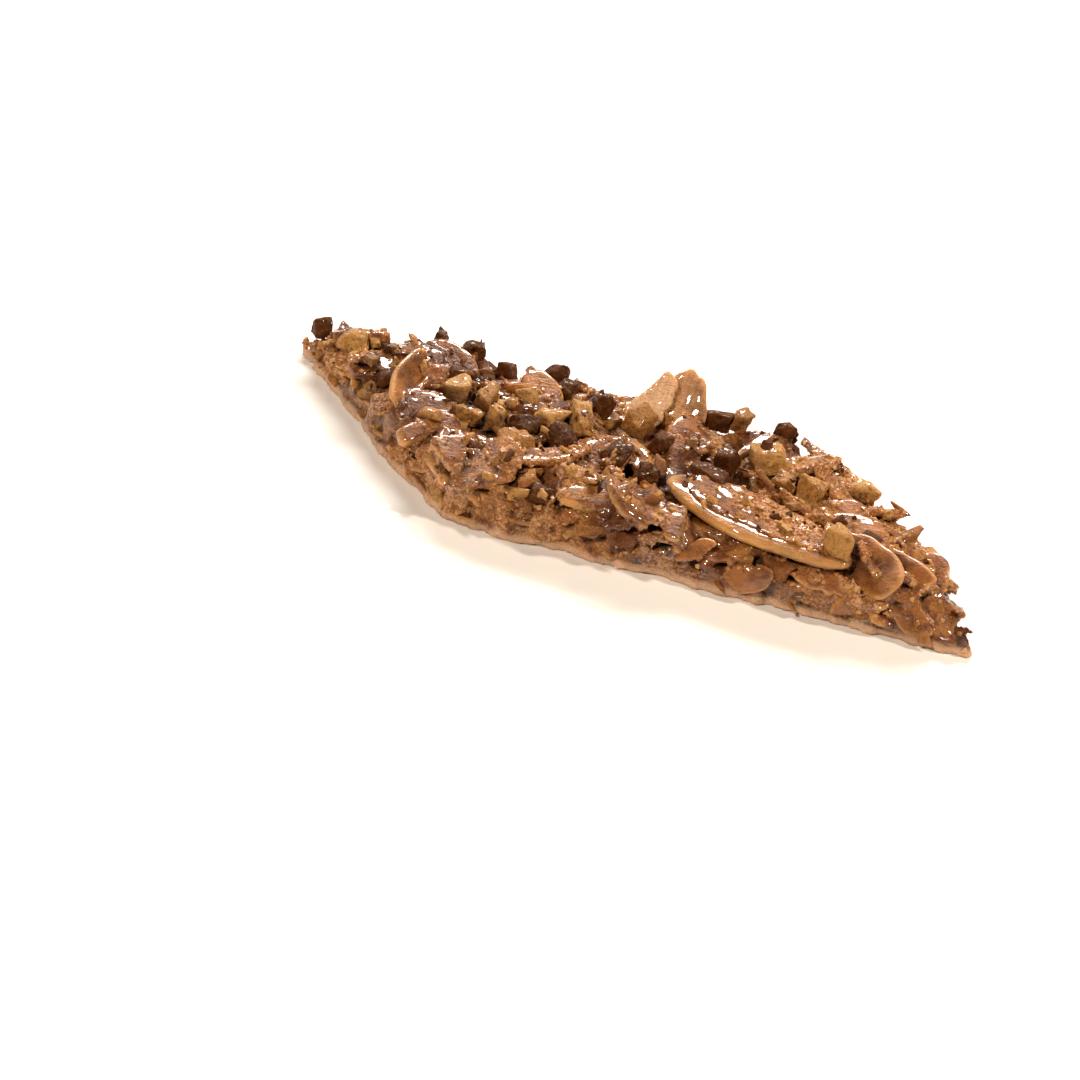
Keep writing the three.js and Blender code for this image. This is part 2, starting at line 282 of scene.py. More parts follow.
class Flake:
    """A flaked almond: where it lies, its size, how it curls and where it has snapped.

    A snap is a bearing in the flake's own plane and how far along it the flake still reaches.
    """

    def __init__(self, middle, axes, size, curl, tint, snaps=(), reach=None):
        self.middle, self.axes, self.size = middle, axes, np.asarray(size)
        self.curl, self.tint, self.snaps, self.reach = curl, tint, snaps, reach

    def distance(self, x, y, z, sunk, inset=0.0):
        """Signed distance to the flake made thinner by sunk, and smaller in plan by inset more."""
        dx, dy, dz = x - self.middle[0], y - self.middle[1], z - self.middle[2]
        p, q, r = (dx * a[0] + dy * a[1] + dz * a[2] for a in self.axes.T)
        long_half = self.size[0] / 2 - sunk - inset
        along = p / long_half
        taper = 1 - 0.24 * along
        half = (self.size[1] / 2 - sunk - inset) * np.clip(taper, 0.3, 1.4)
        side = q / half
        k0 = np.sqrt(along ** 2 + side ** 2) + 1e-6
        k1 = np.sqrt((along / long_half) ** 2 + (side / half) ** 2) + 1e-6
        plan = k0 * (k0 - 1) / k1
        for bearing, reach in self.snaps:
            plan = np.maximum(plan, p * math.cos(bearing) + q * math.sin(bearing) - reach + sunk)
        sag = self.curl[0] + self.curl[1] * along ** 2 + self.curl[2] * side ** 2
        skin = np.abs(r - np.clip(sag, -2.5, 2.5)) - self.size[2] / 2 + sunk
        return np.maximum(plan, skin)

    def plan_reach(self, place):
        """How far out from the middle a place seen from above lies: 1 is at the rim."""
        gap = np.asarray(place) - self.middle[:2]
        plan = self.axes[:2] * self.size / 2
        return math.sqrt(gap @ np.linalg.inv(plan @ plan.T) @ gap)

    def outline(self, spokes, rng, tray):
        """The rim in plan as two arrays from -1 to 1, nicked, snapped and broken at the wall."""
        angle = np.linspace(0, 2 * math.pi, spokes, endpoint=False)
        nicks = sum(rng.normal(0, 0.03 / math.sqrt(wave)) * np.cos(wave * angle + rng.uniform(0, 6.28))
                    for wave in range(3, 10))
        along = np.cos(angle) * (1 + nicks)
        side = np.sin(angle) * (1 - 0.24 * np.cos(angle))
        side = side / np.abs(side).max() * (1 + nicks)
        p, q = along * self.size[0] / 2, side * self.size[1] / 2
        keep = np.ones(spokes)
        for bearing, reach in self.snaps:
            forward = p * math.cos(bearing) + q * math.sin(bearing)
            jagged = reach * (1 + 0.09 * rng.normal(size=spokes))
            keep = np.where(forward * keep > jagged, jagged / np.maximum(forward, 1e-3), keep)
        if tray and self.reach is not None:
            steps = np.linspace(0.08, 1, 24)
            x, y = (self.middle[k] + (p * self.axes[k, 0] + q * self.axes[k, 1])[:, None] * steps
                    for k in (0, 1))
            jagged = 0.9 * (value_noise(x, y, 0 * x, 0.9, 41) - 0.5)
            beyond = tray.sample(tray.outline, x, y) + jagged > self.reach
            first = np.where(beyond.any(1), beyond.argmax(1), len(steps) - 1)
            keep = np.minimum(keep, steps[first])
        for _ in range(3):
            keep = np.minimum(keep, (np.roll(keep, 1) + np.roll(keep, -1)) / 2 + SPIKE)
        return along * keep, side * keep

    def plate(self, spokes, rings, seed, tray=None):
        """The flake's points, and for each its place along and across, and how near the rim."""
        rng = np.random.default_rng(seed)
        rim_along, rim_side = self.outline(spokes, rng, tray)
        half = self.size / 2
        levels = [math.sin(ring / rings * math.pi / 2) ** 0.8 for ring in range(1, rings + 1)]
        sheets = []
        for face in (1, -1):
            for reach in [0.0] + (levels if face > 0 else levels[:-1]):
                along, side = (v * reach for v in ((rim_along, rim_side) if reach else
                                                   (np.zeros(1), np.zeros(1))))
                belly = half[2] * max(0.0, 1 - reach ** 9) ** 0.5
                p, q, level = along * half[0], side * half[1], 0 * along
                ripple = 0.34 * (value_noise(p + seed, q, level, 2.4, 3) - 0.5)
                ripple += 0.12 * (value_noise(p, q + seed, level, 0.9, 4) - 0.5)
                height = self.curl[0] + self.curl[1] * along ** 2 + self.curl[2] * side ** 2
                sheets.append(np.stack([p, q, height + ripple + face * belly,
                                        np.full_like(along, reach)], 1))
        local = np.concatenate(sheets)
        return self.middle + local[:, :3] @ self.axes.T, local


def plate_faces(spokes, rings):
    """Faces of a plate: a fan and rings above, a fan and rings below, one shared rim."""
    under_start = 1 + rings * spokes

    def over(ring, spoke):
        return 0 if ring == 0 else 1 + (ring - 1) * spokes + spoke % spokes

    def under(ring, spoke):
        if ring == rings:
            return over(rings, spoke)
        return under_start + (0 if ring == 0 else 1 + (ring - 1) * spokes + spoke % spokes)

    faces = []
    for spoke in range(spokes):
        faces.append((over(0, 0), over(1, spoke), over(1, spoke + 1)))
        faces.append((under(0, 0), under(1, spoke + 1), under(1, spoke)))
        for ring in range(1, rings):
            faces.append((over(ring, spoke), over(ring + 1, spoke),
                          over(ring + 1, spoke + 1), over(ring, spoke + 1)))
            faces.append((under(ring, spoke), under(ring, spoke + 1),
                          under(ring + 1, spoke + 1), under(ring + 1, spoke)))
    return faces


def flake_piece(name, flakes, spokes, rings, material, seed, tray=None):
    """One mesh of one or many flakes, with the values that their finish reads."""
    faces = plate_faces(spokes, rings)
    points, locals_, tints, all_faces, start = [], [], [], [], 0
    for index, flake in enumerate(flakes):
        placed, local = flake.plate(spokes, rings, seed + index, tray)
        points.append(lifted(placed))
        locals_.append(local + np.array((9.7 * index, 0, 0, 0)))
        tints.append(np.full(len(placed), flake.tint))
        all_faces += [[v + start for v in face] for face in faces]
        start += len(placed)
    piece = mesh_object(name, np.concatenate(points), all_faces, material)
    local = np.concatenate(locals_)
    point_attribute(piece, "along", local[:, 0])
    point_attribute(piece, "side", local[:, 1])
    point_attribute(piece, "rim", smooth_step(0.84, 1.0, local[:, 3]))
    point_attribute(piece, "tint", np.concatenate(tints))
    return piece


def tilted_axes(heading, slope_x, slope_y):
    """Axes of a flake that points along heading and leans with the slope of what it lies on."""
    normal = np.array((-slope_x, -slope_y, 1.0))
    normal /= np.linalg.norm(normal)
    length = np.array((math.cos(heading), math.sin(heading), 0.0))
    length -= normal * (length @ normal)
    length /= np.linalg.norm(length)
    return np.stack([length, np.cross(normal, length), normal], 1)


def drop_flakes(tray, hero, chunks):
    """Flakes fall one by one and rest on those below, until the slab's height is reached."""
    rng = np.random.default_rng(SEED)
    cells = np.argwhere(tray.outline < -0.6)
    cell_x = tray.origin[0] + tray.CELL * np.arange(tray.count[0])[:, None]
    cell_y = tray.origin[1] + tray.CELL * np.arange(tray.count[1])[None]
    chunk_here = np.zeros(tray.count, bool)
    for nut in chunks:
        reach = 0.3 * max(nut.size[0], nut.size[1])
        chunk_here |= (cell_x - nut.middle[0]) ** 2 + (cell_y - nut.middle[1]) ** 2 < reach ** 2
    heap = HEAP + sum(rise * np.exp(-((cell_x - x) ** 2 + (cell_y - y) ** 2) / reach ** 2)
                      for x, y, reach, rise in CRUSTS)
    pile = np.full(tray.count, 0.25)
    flakes = []
    for _ in range(FLAKE_TRIES):
        i, j = cells[rng.integers(len(cells))]
        length = rng.uniform(*FLAKE_LENGTHS)
        width = length * rng.uniform(0.4, 0.58)
        thickness = FLAKE_THICKNESS * rng.uniform(0.75, 1.2)
        heading = rng.uniform(0, 2 * math.pi)
        lean = rng.normal(0, 0.2, 2)
        curl = rng.normal(0, 0.4)
        tint = 0.85 * rng.random()
        reach = rng.uniform(-1.0, 0.35)
        snaps = [(rng.uniform(0, 2 * math.pi), length * rng.uniform(0.06, 0.32))
                 for _ in range(rng.integers(0, 3))]
        beside_hero = hero.plan_reach((cell_x[i, 0], cell_y[0, j])) < 1.25
        room = tray.top[i, j] + (-HERO_CLEAR if beside_hero else heap[i, j]) - pile[i, j]
        if room < thickness or cell_x[i, 0] > TIP:
            continue
        dx, dy = cell_x - cell_x[i, 0], cell_y - cell_y[0, j]
        p = dx * math.cos(heading) + dy * math.sin(heading)
        q = -dx * math.sin(heading) + dy * math.cos(heading)
        under = (p / (length / 2)) ** 2 + (q / (width / 2)) ** 2 < 0.9
        for bearing, far in snaps:
            under &= p * math.cos(bearing) + q * math.sin(bearing) < far
        if under.sum() < 12:
            continue
        table = np.stack([np.ones(under.sum()), dx.repeat(dy.shape[1], 1)[under],
                          dy.repeat(dx.shape[0], 0)[under]], 1)
        fit = np.linalg.lstsq(table, pile[under], rcond=None)[0]
        slope = np.clip(fit[1:] * 0.8 + lean, -0.6, 0.6)
        plane = dx * slope[0] + dy * slope[1]
        rest = np.percentile((pile - plane)[under], 66)
        if (under & chunk_here).any() and rest + thickness > tray.top[i, j] - CHUNK_CLEAR:
            continue
        middle = np.array((cell_x[i, 0], cell_y[0, j], rest + thickness / 2))
        pile[under] = np.maximum(pile, plane + rest + thickness)[under]
        flakes.append(Flake(middle, tilted_axes(heading, *slope), (length, width, thickness),
                            (-0.35 * curl, curl, 0.3 * curl), tint, snaps, reach))
    return flakes, tray.blur(pile, 1)


# ---- Chopped nuts ---------------------------------------------------------------------------

ALMOND, PISTACHIO, NIB = 0, 1, 2


def snapped_chip(seed, edge_amount, steps, cuts=0):
    """Points and triangles of a chopped nut, about one across: a skewed block, worn edges."""
    rng = np.random.default_rng(seed)
    bm = bmesh.new()
    corners = np.array([(x, y, z) for x in (-1, 1) for y in (-1, 1) for z in (-1, 1)], float)
    for corner in corners * rng.uniform(0.25, 1.0, (8, 3)) / 2:
        bm.verts.new(corner)
    for towards in rng.normal(size=(4, 3)):
        bm.verts.new(towards / np.linalg.norm(towards) * rng.uniform(0.35, 0.6))
    hull = bmesh.ops.convex_hull(bm, input=bm.verts)
    inner = [item for item in hull["geom_interior"] if isinstance(item, bmesh.types.BMVert)]
    bmesh.ops.delete(bm, geom=inner, context="VERTS")
    bmesh.ops.dissolve_limit(bm, angle_limit=math.radians(12), verts=bm.verts, edges=bm.edges)
    if steps:
        bmesh.ops.bevel(bm, geom=bm.edges[:], offset=edge_amount, segments=steps, profile=0.5,
                        affect="EDGES", clamp_overlap=True)
    bmesh.ops.triangulate(bm, faces=bm.faces)
    if cuts:
        bmesh.ops.subdivide_edges(bm, edges=bm.edges[:], cuts=cuts, use_grid_fill=True)
        bmesh.ops.triangulate(bm, faces=bm.faces)
    bmesh.ops.recalc_face_normals(bm, faces=bm.faces)
    bm.verts.index_update()
    points = np.array([v.co for v in bm.verts])
    outward = np.array([v.normal for v in bm.verts])
    faces = [[v.index for v in face.verts] for face in bm.faces]
    bm.free()
    low, high = points.min(0), points.max(0)
    return (points - (low + high) / 2) / (high - low), outward, faces


class Chip:
    """A chopped nut set in the mass."""

    def __init__(self, rng, middle, across, kind):
        self.middle, self.kind, self.tint = middle, kind, rng.random()
        self.axes = tilted_axes(rng.uniform(0, 2 * math.pi), *rng.normal(0, CHIP_LEAN, 2))
        sliver = kind == ALMOND and rng.random() < SLIVERS
        longest, middling, flattest = (2.1, 0.62, 0.36) if sliver else (1.2, 0.92, 0.6)
        self.size = across * rng.uniform(0.8, 1.2, 3) * (longest, middling, flattest)
        self.shape = int(rng.integers(CHIP_SHAPES))

    def distance(self, x, y, z):
        dx, dy, dz = x - self.middle[0], y - self.middle[1], z - self.middle[2]
        half = self.size / 2 * 0.8
        p, q, r = ((dx * a[0] + dy * a[1] + dz * a[2]) / h for a, h in zip(self.axes.T, half))
        return (np.sqrt(p ** 2 + q ** 2 + r ** 2) - 1) * half.min()


def set_chips(tray, pile, slices):
    """Chopped nuts pressed into the top and showing in the broken sides."""
    rng = np.random.default_rng(SEED + 1)
    chips = []

    def across():
        return CHIP_SIZES[0] + (CHIP_SIZES[1] - CHIP_SIZES[0]) * rng.random() ** 2.4

    def cell_place(cell):
        return tray.origin + tray.CELL * (cell + rng.random(2) - 0.5)

    def on_slice(place):
        return any(flake.plan_reach(place) < 0.92 for flake in slices)

    top_cells = np.argwhere(tray.outline < -0.8)
    for _ in range(TOP_CHIPS):
        cell = top_cells[rng.integers(len(top_cells))]
        place, size = cell_place(cell), across()
        green, dark = (float(value_noise(place[0], place[1], np.zeros(1), 8.0, seed)[0])
                       for seed in (33, 34))
        pick = rng.random()
        kind = NIB if pick < 0.5 * dark else PISTACHIO if pick < 0.5 * dark + 0.5 * green else ALMOND
        middle = np.array((*place, pile[tuple(cell)] + size * rng.uniform(-0.3, 0.18)))
        if not on_slice(place) and place[0] < TIP:
            chips.append(Chip(rng, middle, size, kind))
    side_cells = np.argwhere(np.abs(tray.outline + 0.95) < 0.35)
    for _ in range(SIDE_CHIPS):
        cell = side_cells[rng.integers(len(side_cells))]
        place, size = cell_place(cell), across()
        middle = np.array((*place, rng.uniform(0.6, max(1.0, tray.top[tuple(cell)] - 0.4))))
        pick = rng.random()
        kind = NIB if pick < 0.06 else PISTACHIO if pick < 0.14 else ALMOND
        if place[0] < TIP:
            chips.append(Chip(rng, middle, size, kind))
    return chips


def chip_piece(name, chips, material, seed):
    """One mesh of many chopped nuts of one kind."""
    shapes = [snapped_chip(seed + index, 0.045, 1, cuts=1) for index in range(CHIP_SHAPES)]
    points, faces, tints, start = [], [], [], 0
    for chip in chips:
        blank, outward, blank_faces = shapes[chip.shape]
        pits = value_noise(*(blank * 3 + 7.0 * chip.tint).T, 0.8, seed) - 0.5
        blank = blank + outward * (CHIP_PITS * pits)[:, None]
        points.append(lifted(chip.middle + (blank * chip.size) @ chip.axes.T))
        faces += [[v + start for v in face] for face in blank_faces]
        tints.append(np.full(len(blank), chip.tint))
        start += len(blank)
    piece = mesh_object(name, np.concatenate(points), faces, material)
    point_attribute(piece, "tint", np.concatenate(tints))
    return piece


def chopped_piece(nut, material, seed, swell, rough):
    """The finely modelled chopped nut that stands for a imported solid."""
    blank, outward, faces = snapped_chip(seed, 0.05, 1, cuts=3)
    points = blank * nut.size * swell
    pits = value_noise(*(points + seed % 89).T, 0.75, seed)
    pits = pits + 0.5 * value_noise(*(points + seed % 53).T, 0.35, seed)
    points = points + outward * (rough * (pits - 0.75))[:, None]
    piece = mesh_object(nut.name + "_chopped", lifted(nut.place(points)), faces, material)
    rng = np.random.default_rng(seed)
    point_attribute(piece, "tint", np.full(len(points), rng.random()))
    return piece


# ---- The set caramel ------------------------------------------------------------------------

class Core:
    """Signed distance of the caramel that binds the nuts, on a grid."""

    def __init__(self, tray):
        corners = np.array([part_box(name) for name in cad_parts]) / MM
        low = corners[:, 0].min(0) - 1.2
        high = corners[:, 1].max(0) + 1.2
        low[2] = -0.9
        self.low = low
        self.count = np.ceil((high - low) / VOXEL).astype(int)
        axes = [(low[k] + VOXEL * np.arange(self.count[k])).astype(np.float32) for k in range(3)]
        self.x, self.y, self.z = np.meshgrid(*axes, indexing="ij", sparse=True)
        self.nuts = np.full(self.count, 3.0, np.float32)      # distance to the nearest flake
        self.bound = np.full(self.count, 3.0, np.float32)     # the same with caramel fillets
        self.tray = tray

    def stamp(self, distance, middle, reach, fillet, is_flake=True):
        """Adds a shape to the grid cells that it may touch."""
        low = np.clip(np.floor((middle - reach - self.low) / VOXEL).astype(int), 0, self.count)
        high = np.clip(np.ceil((middle + reach - self.low) / VOXEL).astype(int) + 1, 0, self.count)
        i, j, k = box = tuple(slice(a, b) for a, b in zip(low, high))
        d = distance(self.x[i], self.y[:, j], self.z[:, :, k]).astype(np.float32)
        if is_flake:
            self.nuts[box] = np.minimum(self.nuts[box], d)
        self.bound[box] = smooth_min(self.bound[box], d, fillet)

    def add_flake(self, flake, sunk, fillet, inset=0.0):
        reach = np.abs(flake.axes) @ (flake.size / 2 * np.array((1, 1.2, 1)) + np.array((0, 0, 1.0))) + 0.8
        self.stamp(lambda x, y, z: flake.distance(x, y, z, sunk, inset), flake.middle, reach, fillet)

    def add_chip(self, chip):
        self.stamp(chip.distance, chip.middle, chip.size.max() * 0.6 + 0.6, CHIP_FILLET, is_flake=False)

    def set_caramel(self):
        """Fills the gaps with caramel, breaks the sides and flattens the underside."""
        tray = self.tray
        flat_x, flat_y = np.broadcast_arrays(self.x[:, :, 0], self.y[:, :, 0])
        edge = tray.sample(tray.outline, flat_x, flat_y)[:, :, None].astype(np.float32)
        top = tray.sample(tray.top, flat_x, flat_y)[:, :, None].astype(np.float32)
        broad = value_noise(self.x, self.y, 0 * self.z[:, :, :1], 3.2, 5)
        lump = value_noise(self.x, self.y, self.z, 1.7, 11)
        grain = value_noise(self.x, self.y, self.z, 0.75, 12)
        pool = self.z - (top - POOL_DEPTH + 1.6 * (broad - 0.5))
        foot = smooth_step(0.2, 1.4, self.z)
        wall = edge + 0.1 + (1.2 * (lump - 0.5) + 0.5 * (grain - 0.5)) * (0.45 + 0.55 * foot)
        filling = np.maximum(pool, wall + WALL_RECESS * foot)
        body = smooth_min(np.maximum(self.bound, wall + 0.1), filling, CARAMEL_FILLET)
        body = body + 0.34 * (grain - 0.5) * (0.3 + 0.7 * foot)
        self.body = np.maximum(body, 0.12 * lump - self.z)
        self.edge = edge

    def crowding(self, reach):
        """How much solid is near each place, from 0 to 1: hollows are high, ridges are low."""
        solid = np.clip(0.5 - self.body / VOXEL, 0, 1).astype(np.float32)
        steps = int(round(reach / VOXEL))
        for axis in range(3):
            total = np.cumsum(solid, axis=axis, dtype=np.float32)
            solid = (np.roll(total, -steps, axis) - np.roll(total, steps + 1, axis)) / (2 * steps + 1)
        return np.clip(solid, 0, 1)

    def sample(self, grid, points):
        u = np.clip((points - self.low) / VOXEL, 0, self.count - 1.001)
        base = u.astype(int)
        part = u - base
        total = 0
        for corner in np.ndindex(2, 2, 2):
            weight = np.prod(np.where(corner, part, 1 - part), axis=1)
            total = total + weight * grid[tuple((base + corner).T)]
        return total

    def mesh(self, name, material, start, end):
        """The caramel from start to end along the slab, one closed body."""
        beyond = np.maximum(start - self.x, self.x - end)
        shy = SEAM_DEPTH * smooth_step(0, 2 * VOXEL, beyond)
        body = np.maximum(self.body + shy, beyond - SEAM_OVERLAP)
        grid = openvdb.FloatGrid(3.0)
        grid.copyFromArray(np.ascontiguousarray(body.astype(np.float32)))
        grid.transform = openvdb.createLinearTransform(voxelSize=VOXEL)
        grid.gridClass = openvdb.GridClass.LEVEL_SET
        points, triangles, quads = grid.convertToPolygons(isovalue=0.0, adaptivity=0.14)
        faces = [t[::-1] for t in triangles.tolist()] + [q[::-1] for q in quads.tolist()]
        points = points + self.low
        points[:, 2] = np.maximum(points[:, 2], 0.0)
        piece = mesh_object(name, points, faces, material)
        keep_largest_shell(piece)
        return piece


def keep_largest_shell(piece):
    """Drops loose crumbs and sealed bubbles that the meshing leaves."""
    bm = bmesh.new()
    bm.from_mesh(piece.data)
    left = set(bm.verts)
    shells = []
    while left:
        stack = [left.pop()]
        shell = []
        while stack:
            vert = stack.pop()
            shell.append(vert)
            for edge in vert.link_edges:
                other = edge.other_vert(vert)
                if other in left:
                    left.remove(other)
                    stack.append(other)
        shells.append(shell)
    shells.sort(key=len)
    for shell in shells[:-1]:
        bmesh.ops.delete(bm, geom=shell, context="VERTS")
    bm.to_mesh(piece.data)
    bm.free()
    piece.data.update()


# ---- Finishes -------------------------------------------------------------------------------

def add(tree, kind, settings=None, links=None):
    """Adds a node; settings are attributes or input values, links are inputs fed by sockets."""
    node = tree.nodes.new(kind)
    for key, value in (settings or {}).items():
        if isinstance(key, str) and hasattr(node, key) and key not in node.inputs:
            setattr(node, key, value)
        else:
            node.inputs[key].default_value = value
    for key, socket in (links or {}).items():
        tree.links.new(socket, node.inputs[key])
    return node


def ramp(tree, factor, stops):
    node = add(tree, "ShaderNodeValToRGB", links={"Fac": factor})
    elements = node.color_ramp.elements
    while len(elements) < len(stops):
        elements.new(0.5)
    for element, (place, hex_value) in zip(elements, stops):
        element.position = place
        element.color = colour(hex_value)
    return node.outputs["Color"]


def new_material(name):
    material = bpy.data.materials.new(name)
    material.use_nodes = True
    tree = material.node_tree
    tree.nodes.clear()
    return material, tree


def mix(tree, factor, a, b):
    node = tree.nodes.new("ShaderNodeMix")
    node.data_type = "RGBA"
    for socket, value in ((node.inputs[0], factor), (node.inputs[6], a), (node.inputs[7], b)):
        if isinstance(value, (float, int, tuple)):
            socket.default_value = value
        else:
            tree.links.new(value, socket)
    return node.outputs[2]


def millimetres(tree):
    """Object coordinates in millimetres."""
    place = add(tree, "ShaderNodeTexCoord")
    return add(tree, "ShaderNodeMapping", {"Scale": (1 / MM,) * 3},
               {"Vector": place.outputs["Object"]}).outputs["Vector"]


def noise(tree, where, size, detail=3.0, rough=0.55, twist=0.0):
    """Noise whose largest blobs are about size millimetres."""
    return add(tree, "ShaderNodeTexNoise",
               {"Scale": 1.4 / size, "Detail": detail, "Roughness": rough, "Distortion": twist},
               {"Vector": where}).outputs["Fac"]


def attribute(tree, name):
    return add(tree, "ShaderNodeAttribute", {"attribute_name": name}).outputs["Fac"]


def scale_range(tree, value, low, high, out_low, out_high):
    return add(tree, "ShaderNodeMapRange",
               {1: low, 2: high, 3: out_low, 4: out_high}, {0: value}).outputs[0]


def bump(tree, height, distance, strength, under=None):
    """Relief of the given height range in millimetres, on top of the relief under it."""
    links = {"Height": height}
    settings = {"Distance": distance * MM}
    if isinstance(strength, float):
        settings["Strength"] = strength
    else:
        links["Strength"] = strength
    if under:
        links["Normal"] = under
    return add(tree, "ShaderNodeBump", settings, links).outputs["Normal"]


def wrinkled_film(tree, mm, wet, under=None):
    """The skin that caramel draws over nuts: fine wrinkles pulled along the slab as it set."""
    drawn = add(tree, "ShaderNodeMapping", {"Scale": (0.4, 1.0, 1.0)}, {"Vector": mm}).outputs["Vector"]
    folds = noise(tree, drawn, 0.75, 2.0, 0.5, 0.9)
    creases = noise(tree, drawn, 0.24, 3.0, 0.6, 0.7)
    normal = bump(tree, folds, 0.55, scale_range(tree, wet, 0, 1, 0.25, 1.0), under)
    return bump(tree, creases, 0.28, scale_range(tree, wet, 0, 1, 0.3, 1.0), normal)


def shaded(tree, base):
    """The finish with patches of thick dark caramel, the pale tray side and painted shade in the hollows."""
    base = mix(tree, scale_range(tree, attribute(tree, "thick"), 0, 1, 0, 0.66), base, colour("#562604"))
    base = mix(tree, scale_range(tree, attribute(tree, "underside"), 0, 1, 0, 0.8), base, colour("#cfa684"))
    # painted shade: the more shut in a place is, the nearer to black its colour is painted
    return mix(tree, scale_range(tree, attribute(tree, "hollow"), 0, 1, 0, 0.88), base, colour("#1c0700"))


def frosted(tree, base, mm):
    """The finish with the dull pale bloom that sugar and crushed almond leave in patches."""
    specks = scale_range(tree, noise(tree, mm, 0.5, 4.0, 0.7), 0.46, 0.6, 0.0, 1.0)
    amount = add(tree, "ShaderNodeMath", {"operation": "MULTIPLY"}, {0: specks, 1: attribute(tree, "frost")})
    return mix(tree, scale_range(tree, amount.outputs[0], 0, 1, 0, 0.75), base, colour("#d2a67c"))


def surface(tree, base, normal, settings, links=None):
    shader = add(tree, "ShaderNodeBsdfPrincipled", settings,
                 {"Base Color": base, "Normal": normal, **(links or {})})
    add(tree, "ShaderNodeOutputMaterial", links={"Surface": shader.outputs["BSDF"]})


def cooked_caramel():
    """Sugar and butter cooked to caramel: a golden film over the nuts, amber where it pools,
    sandy where almond is crushed in it, and pale and matt where it lay on the tray."""
    material, tree = new_material("cooked_caramel")
    mm = millimetres(tree)
    mottled = noise(tree, mm, 1.6, 4.0)
    fine = noise(tree, mm, 0.32, 3.0, 0.65)
    film = ramp(tree, mottled, [(0.35, "#5c2902"), (0.5, "#83470f"), (0.65, "#a96d2a")])
    amber = ramp(tree, mottled, [(0.35, "#270e00"), (0.5, "#4a2003"), (0.65, "#70380a")])
    body = mix(tree, attribute(tree, "near"), amber, film)
    sandy = ramp(tree, fine, [(0.35, "#6f3a10"), (0.5, "#975c27"), (0.65, "#b98650")])
    body = mix(tree, attribute(tree, "sand"), body, sandy)
    body = frosted(tree, body, mm)
    tray_side = ramp(tree, fine, [(0.35, "#a3764f"), (0.5, "#cba17c"), (0.65, "#e2c3a6")])
    body = shaded(tree, mix(tree, attribute(tree, "underside"), body, tray_side))
    dry = add(tree, "ShaderNodeMath", {"operation": "MAXIMUM"},
              {0: attribute(tree, "sand"), 1: attribute(tree, "underside")}).outputs[0]
    wet = scale_range(tree, dry, 0, 1, 1, 0)
    grit = bump(tree, fine, 0.16, scale_range(tree, dry, 0, 1, 0.1, 0.8))
    surface(tree, body, wrinkled_film(tree, mm, wet, grit),
            {"IOR": 1.42, "Coat Roughness": 0.05, "Coat IOR": 1.5, "Subsurface Weight": 0.22,
             "Subsurface Radius": (1.0, 0.36, 0.1), "Subsurface Scale": 0.8 * MM},
            {"Roughness": scale_range(tree, dry, 0, 1, 0.42, 0.7),
             "Coat Weight": scale_range(tree, dry, 0, 1, 0.9, 0.15)})
    return material


def glazed_almond():
    """Flaked almond toasted in caramel: gold and a little see-through, grained along its
    length, darker where the caramel lies thick, with a paler rim painted as light glowing through the thin
    edge."""
    material, tree = new_material("toasted_flaked_almond_glazed")
    mm = millimetres(tree)
    tint = attribute(tree, "tint")
    grain_at = add(tree, "ShaderNodeCombineXYZ",
                   links={"X": attribute(tree, "along"), "Y": attribute(tree, "side")}).outputs[0]
    grain_at = add(tree, "ShaderNodeMapping", {"Scale": (0.35, 2.6, 1.0)}, {"Vector": grain_at}).outputs[0]
    grain = add(tree, "ShaderNodeTexNoise", {"Scale": 1.0, "Detail": 4.0, "Roughness": 0.6},
                {"Vector": grain_at}).outputs["Fac"]
    mottled = noise(tree, mm, 5.0, 4.0, 0.6)
    fine = noise(tree, mm, 0.3, 3.0)
    base = ramp(tree, tint, [(0.0, "#793f10"), (0.35, "#9a5c20"), (0.75, "#bb7d34"), (1.0, "#f4cca2")])
    base = mix(tree, scale_range(tree, grain, 0.42, 0.66, 0.0, 0.4), base, colour("#8f5320"))
    stain = add(tree, "ShaderNodeMath", {"operation": "MULTIPLY"},
                {0: scale_range(tree, mottled, 0.42, 0.62, 0.0, 0.85),
                 1: scale_range(tree, tint, 0.8, 1.0, 1.0, 0.1)}).outputs[0]
    base = mix(tree, stain, base, colour("#65330a"))
    base = mix(tree, scale_range(tree, fine, 0.52, 0.72, 0.0, 0.4), base, colour("#c0894a"))
    # painted light: a paler rim that stands for light glowing through the thin edge of the flake
    edge_amount = scale_range(tree, attribute(tree, "rim"), 0, 1, 0, 0.6)
    base = shaded(tree, mix(tree, edge_amount, base, colour("#d49e58")))
    normal = bump(tree, grain, 0.1, 0.3)
    wet = scale_range(tree, mottled, 0.4, 0.6, 0.3, 1.0)
    surface(tree, base, wrinkled_film(tree, mm, wet, normal),
            {"IOR": 1.42, "Roughness": 0.42, "Coat Weight": 0.75, "Coat Roughness": 0.05,
             "Subsurface Weight": 0.4, "Subsurface Radius": (1.0, 0.42, 0.12),
             "Subsurface Scale": 1.2 * MM})
    return material


